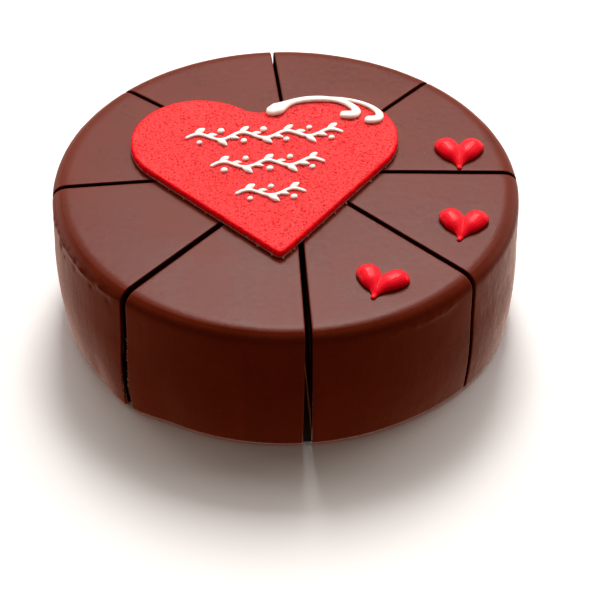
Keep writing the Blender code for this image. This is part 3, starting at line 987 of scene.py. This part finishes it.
def piped(name, strokes, settle, voxel, smoothing):
    """Strokes of icing run together into one soft body that settles flat on what is under it."""
    shape = bmesh.new()
    for path in strokes:
        bead(shape, path)
    bmesh.ops.recalc_face_normals(shape, faces=shape.faces)
    mesh = bpy.data.meshes.new(name + "_beads")
    shape.to_mesh(mesh)
    shape.free()
    item = bpy.data.objects.new(name + "_beads", mesh)
    bpy.context.scene.collection.objects.link(item)
    remesh = item.modifiers.new("run together", "REMESH")
    remesh.mode = "VOXEL"
    remesh.voxel_size = voxel
    smooth = item.modifiers.new("settle", "SMOOTH")
    smooth.factor = 0.5
    smooth.iterations = smoothing
    bpy.context.view_layer.update()
    evaluated = item.evaluated_get(bpy.context.evaluated_depsgraph_get())
    result = bpy.data.meshes.new_from_object(evaluated)
    result.name = name
    bpy.data.objects.remove(item, do_unlink=True)
    flatten, sag = settle
    for vertex in result.vertices:
        height = max(vertex.co.z, 0.0)
        vertex.co.z = height * flatten / (1.0 + height * sag)
    return result


def on_heart():
    return heart_frame(CAKE_HEIGHT + HEART_THICKNESS + 1.3 * GAP)


def pipe_scroll(finish):
    strokes = [smooth_path(SCROLL_INNER, 8), smooth_path(SCROLL_OUTER, 8)]
    mesh = piped("scroll", strokes, ICING_SETTLE, 0.00020, 5)
    mesh.transform(on_heart())
    mesh_piece("white_scroll", mesh, finish, "white_icing", "scroll")


def leaf(root, direction, length, plump):
    """A leaf piped as one squeeze: thin at the stem, plump in the middle, drawn out to a point."""
    points = []
    for share, width in ((0.0, 0.50), (0.3, 0.90), (0.6, 1.0), (0.85, 0.72), (1.0, 0.42)):
        place = root + direction * length * share
        points.append((place.x, place.y, plump * width))
    return smooth_path(points, 4)


def garland_strokes(middle, waves, hand):
    """A wavy stem with leaves that all point along it and a dot in every hollow, piped by hand."""
    length = waves * WAVE_LENGTH
    steps = round(waves * 24)
    stem = []
    for step in range(steps + 1):
        swing = sin(step / steps * waves * tau)
        x = middle[0] - length / 2 + length * step / steps
        drift = 0.0005 * soft_noise(x, middle[1], 0.0, 0.012, 2.0)
        thick = 0.84 + 0.16 * abs(swing) + 0.12 * soft_noise(x, middle[1], 0.0, 0.007, 4.0)
        stem.append(Vector((x, middle[1] + WAVE_HEIGHT * swing + drift, STEM_RADIUS * thick)))
    strokes = [stem]
    for number in range(round(waves * 2)):
        side = 1.0 if number % 2 == 0 else -1.0
        x = middle[0] - length / 2 + WAVE_LENGTH * (0.25 + 0.5 * number)
        crest = Vector((x - 0.0012, middle[1] + side * WAVE_HEIGHT))
        heading = Vector((hand.uniform(0.85, 1.15), side)).normalized()
        strokes.append(leaf(crest, heading, hand.uniform(0.0056, 0.0066), hand.uniform(0.0015, 0.0018)))
        slope = Vector((x + WAVE_LENGTH * 0.20, middle[1] + side * WAVE_HEIGHT * 0.35))
        if number + 1 < round(waves * 2):
            heading = Vector((1.0, side * hand.uniform(0.10, 0.30))).normalized()
            strokes.append(leaf(slope, heading, hand.uniform(0.0044, 0.0052), hand.uniform(0.0012, 0.0015)))
        berry = Vector((x + hand.uniform(-0.0006, 0.0006), middle[1] - side * 0.0046, hand.uniform(0.0013, 0.0017)))
        strokes.append([berry, berry + Vector((0.0005, 0.0003, 0.0))])
    return strokes


def pipe_garlands(finish):
    hand = random.Random(17)
    for name, middle, waves in GARLANDS:
        mesh = piped(name, garland_strokes(middle, waves, hand), ICING_SETTLE, 0.00022, 4)
        mesh.transform(on_heart())
        mesh_piece("white_" + name, mesh, finish, "white_icing", name)


def lobe_stroke(spread, side, size, bend):
    """One drop of a small heart: a round head drawn down and away into the thin tail."""
    head = Vector((0.0, -LOBES_JOIN)) + unit(radians(90 - side * spread)) * LOBE_REACH
    points = []
    for number, (share, below, radius) in enumerate(LOBE_BEADS):
        y = head.y if below is None else below
        points.append((head.x * share + bend * number ** 2, y, radius))
    return smooth_path([Vector(point) * size for point in points], 8)


def pipe_small_hearts():
    finish = red_icing_finish()
    for name, notch, turn, size, (left, right), bend in SMALL_HEARTS:
        strokes = [lobe_stroke(right, 1.0, size, bend), lobe_stroke(left, -1.0, size, bend)]
        mesh = piped(name, strokes, DROP_SETTLE, 0.00025, 4)
        place = Matrix.Translation((*notch, CAKE_HEIGHT + GAP * 0.3))
        mesh.transform(place @ Matrix.Rotation(radians(turn - 90), 4, "Z"))
        mesh_piece("red_" + name, mesh, finish, "red_icing", name)


# ---------------------------------------------------------------- studio

CAMERA_PLACE = (0.0, -1.15925, 0.99041)
CAMERA_PITCH = 40.562
CAMERA_YAW = 0.385
CAMERA_ROLL = 0.473
CAMERA_LENS = 172.98


def set_camera():
    data = bpy.data.cameras.new("camera")
    data.lens = CAMERA_LENS
    data.sensor_width = 36.0
    camera = bpy.data.objects.new("camera", data)
    bpy.context.scene.collection.objects.link(camera)
    pitch, yaw, roll = radians(CAMERA_PITCH), radians(CAMERA_YAW), radians(CAMERA_ROLL)
    ahead = Vector((sin(yaw) * cos(pitch), cos(yaw) * cos(pitch), -sin(pitch)))
    right = Vector((cos(yaw), -sin(yaw), 0.0))
    up = right.cross(ahead)
    right, up = cos(roll) * right + sin(roll) * up, cos(roll) * up - sin(roll) * right
    turn = Matrix((right, up, -ahead)).transposed().to_4x4()
    camera.matrix_world = Matrix.Translation(CAMERA_PLACE) @ turn
    bpy.context.scene.camera = camera


def softbox(name, place, aim, width, height, watts, tint=(1.0, 1.0, 1.0)):
    data = bpy.data.lights.new(name, "AREA")
    data.shape = "RECTANGLE"
    data.size = width
    data.size_y = height
    data.energy = watts
    data.color = tint
    light = bpy.data.objects.new(name, data)
    bpy.context.scene.collection.objects.link(light)
    light.location = place
    light.rotation_euler = (Vector(aim) - Vector(place)).to_track_quat("-Z", "Y").to_euler()
    return light


def set_sky():
    """A studio that is bright low down behind the cake and dim and warm in front of it."""
    world = bpy.data.worlds.new("studio")
    world.use_nodes = True
    sky = Nodes(world.node_tree)
    background = world.node_tree.nodes["Background"]
    direction = sky.node("ShaderNodeTexCoord", {}, {}, "Generated")
    back = sky.axis(direction, "Y").between(-0.2, 0.9)
    up = sky.axis(direction, "Z").between(-0.42, -0.02)
    right = sky.axis(direction, "X").between(-0.3, 0.3)
    horizon = sky.mix(colour(1.15, 0.76, 0.64), colour(1.50, 1.10, 0.94), right)
    sides = sky.axis(direction, "X")
    front = sky.mix(colour(0.48, 0.18, 0.06), colour(1.00, 0.38, 0.17), (sides * sides).between(0.04, 0.60))
    low = sky.mix(front, horizon, back)
    behind = sky.axis(direction, "Y").between(0.05, 0.45) * (1.0 - sky.axis(direction, "Z").between(0.45, 0.72))
    high = sky.mix(colour(0.18, 0.15, 0.12), colour(1.10, 0.92, 0.86), behind)
    sky.feed(background.inputs["Color"], sky.mix(low, high, up))
    bpy.context.scene.world = world


def lay_floor(finish):
    shape = bmesh.new()
    bmesh.ops.create_grid(shape, x_segments=24, y_segments=24, size=4.0)
    mesh = bpy.data.meshes.new("floor")
    shape.to_mesh(mesh)
    shape.free()
    mesh.materials.append(finish)
    floor = bpy.data.objects.new("floor", mesh)
    bpy.context.scene.collection.objects.link(floor)
    floor.location.z = -0.0002
    floor.visible_glossy = False
    floor.visible_diffuse = False


def light_studio():
    set_sky()
    softbox("back_box", (0.3, 1.76, 2.47), (0.0, 0.0, 0.04), 4.4, 2.9, 76.0, (1.0, 0.975, 0.955))
    softbox("middle_box", (0.1, 1.82, 2.37), (0.0, 0.0, 0.04), 0.9, 1.2, 76.0, (1.0, 0.975, 0.955))
    softbox("left_box", (-1.25, 0.75, 0.40), (0.0, 0.0, 0.04), 1.0, 0.7, 4.5, (1.0, 0.78, 0.68))
    softbox("right_box", (1.25, 0.75, 0.40), (0.0, 0.0, 0.04), 1.0, 0.7, 3.5, (1.0, 0.70, 0.58))
    bpy.context.scene.view_settings.view_transform = "Standard"


pour_glaze()
finish_fillings()
bake_heart()
scatter_biscuit_crumbs()
scatter_cut_crumbs()
icing = white_icing_finish()
pipe_scroll(icing)
pipe_garlands(icing)
pipe_small_hearts()
set_camera()
light_studio()
lay_floor(floor_finish())
